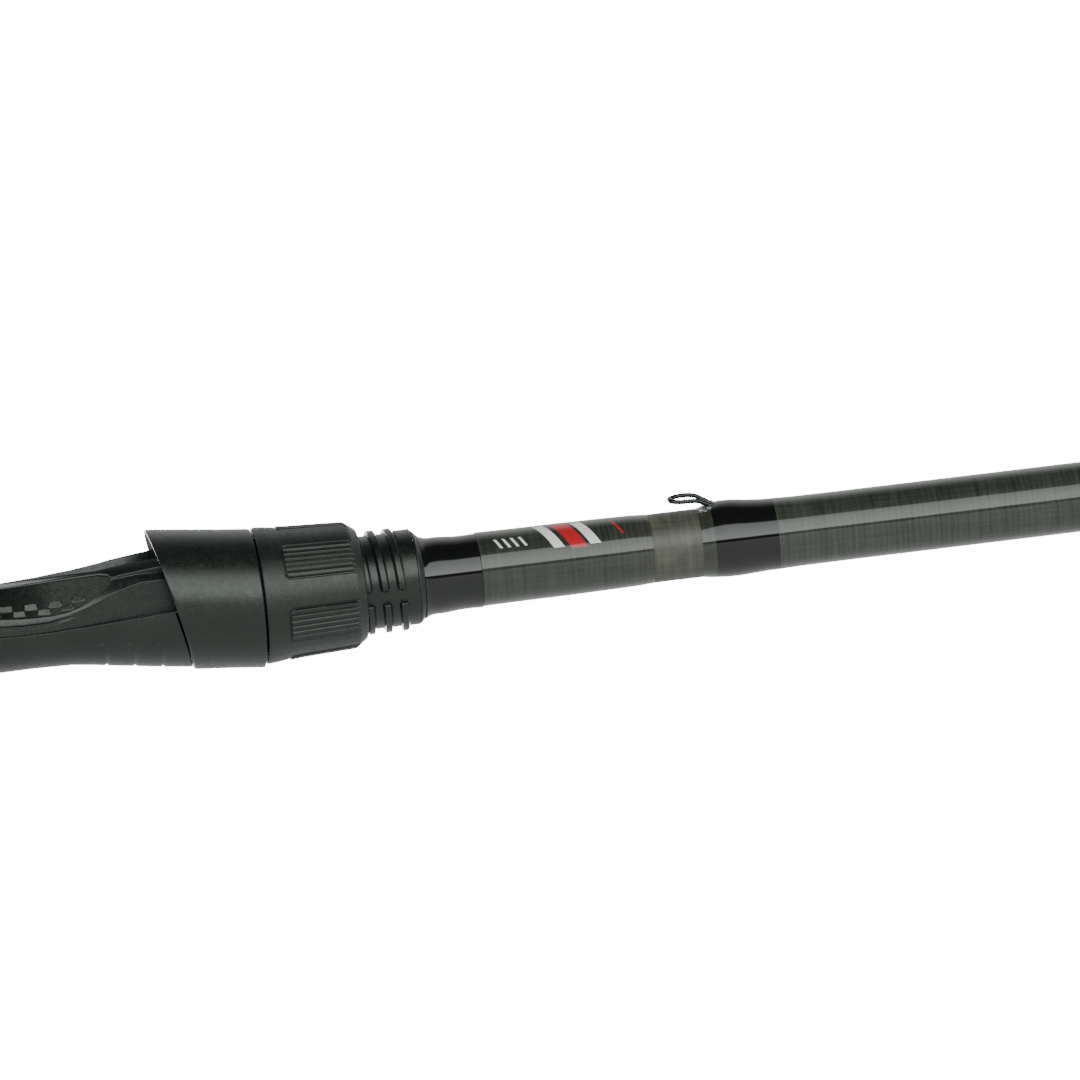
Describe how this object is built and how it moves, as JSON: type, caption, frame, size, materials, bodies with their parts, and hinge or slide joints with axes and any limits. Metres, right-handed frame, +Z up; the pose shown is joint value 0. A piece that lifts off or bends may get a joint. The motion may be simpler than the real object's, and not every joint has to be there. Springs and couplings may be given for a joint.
{
  "type": "spinning rod",
  "caption": "One-piece carbon fishing rod with split grips, a screw-lock reel seat, a hook keeper and ringed line guides, for casting lures with a spinning reel.",
  "frame": {"origin": "centre of the butt cap's flat end face", "axes": "+X along the blank from the butt to the tip, +Z towards the side with the reel foot and the guides, +Y to the left of an angler looking along +X with +Z up"},
  "size_m": [2.1334, 0.03, 0.0707],
  "materials": {
    "seat_plastic": "fine moulded texture, dark grey-green glass-filled nylon",
    "carbon_blank": "charcoal carbon-fibre laminate with a fine cross weave under clear coat",
    "coat_epoxy": "clear glossy epoxy over charcoal carbon, with a plain graphic",
    "wrap_epoxy": "black thread under glossy clear epoxy",
    "gunmetal": "dark plated metal, semi-gloss",
    "guide_frame": "black plated stainless wire",
    "ring_ceramic": "polished dark ceramic",
    "stainless": "thin stainless liner",
    "black_rubber": "matte black",
    "eva_foam": "fine-celled black EVA foam, ground smooth",
    "cork_arbor": "light rigid arbor"
  },
  "bodies": {
    "rod": {"blank": "carbon_blank", "butt_cap": "black_rubber", "butt_coat": "coat_epoxy", "butt_grip": "eva_foam", "butt_grip_check": "gunmetal", "butt_wrap": "wrap_epoxy", "fixed_hood_liner": "stainless", "front_arbor": "cork_arbor", "guide_1_frame": "guide_frame", "guide_1_front_wrap": "wrap_epoxy", "guide_1_rear_wrap": "wrap_epoxy", "guide_1_ring": "ring_ceramic", "guide_2_frame": "guide_frame", "guide_2_front_wrap": "wrap_epoxy", "guide_2_rear_wrap": "wrap_epoxy", "guide_2_ring": "ring_ceramic", "guide_3_frame": "guide_frame", "guide_3_front_wrap": "wrap_epoxy", "guide_3_rear_wrap": "wrap_epoxy", "guide_3_ring": "ring_ceramic", "guide_4_frame": "guide_frame", "guide_4_rear_wrap": "wrap_epoxy", "guide_4_ring": "ring_ceramic", "guide_5_frame": "guide_frame", "guide_5_rear_wrap": "wrap_epoxy", "guide_5_ring": "ring_ceramic", "guide_6_frame": "guide_frame", "guide_6_rear_wrap": "wrap_epoxy", "guide_6_ring": "ring_ceramic", "guide_7_frame": "guide_frame", "guide_7_rear_wrap": "wrap_epoxy", "guide_7_ring": "ring_ceramic", "hook_keeper": "gunmetal", "keeper_wrap": "wrap_epoxy", "middle_arbor": "cork_arbor", "rear_arbor": "cork_arbor", "rear_grip": "eva_foam", "rear_grip_check": "gunmetal", "seat_body": "seat_plastic", "seat_trim_ring": "gunmetal", "tip_top_frame": "guide_frame", "tip_top_ring": "ring_ceramic", "tip_top_wrap": "wrap_epoxy", "winding_check": "black_rubber"},
    "hood": {"moving_hood": "seat_plastic", "moving_hood_liner": "stainless", "coupling_ring": "black_rubber"},
    "nut": {"lock_nut": "seat_plastic"}
  },
  "joints": [
    {"name": "hood_slide", "type": "slide", "parent": "rod", "child": "hood", "axis": [1, 0, 0], "range_m": [0, 0.0096]},
    {"name": "nut_spin", "type": "hinge", "parent": "hood", "child": "nut", "pos_m": [0.336, 0, 0], "axis": [1, 0, 0], "range_deg": [0, 1040]}
  ],
  "couplings": [
    {"joint": "hood_slide", "follows": "nut_spin", "m_per_rad": 0.00052521}
  ]
}
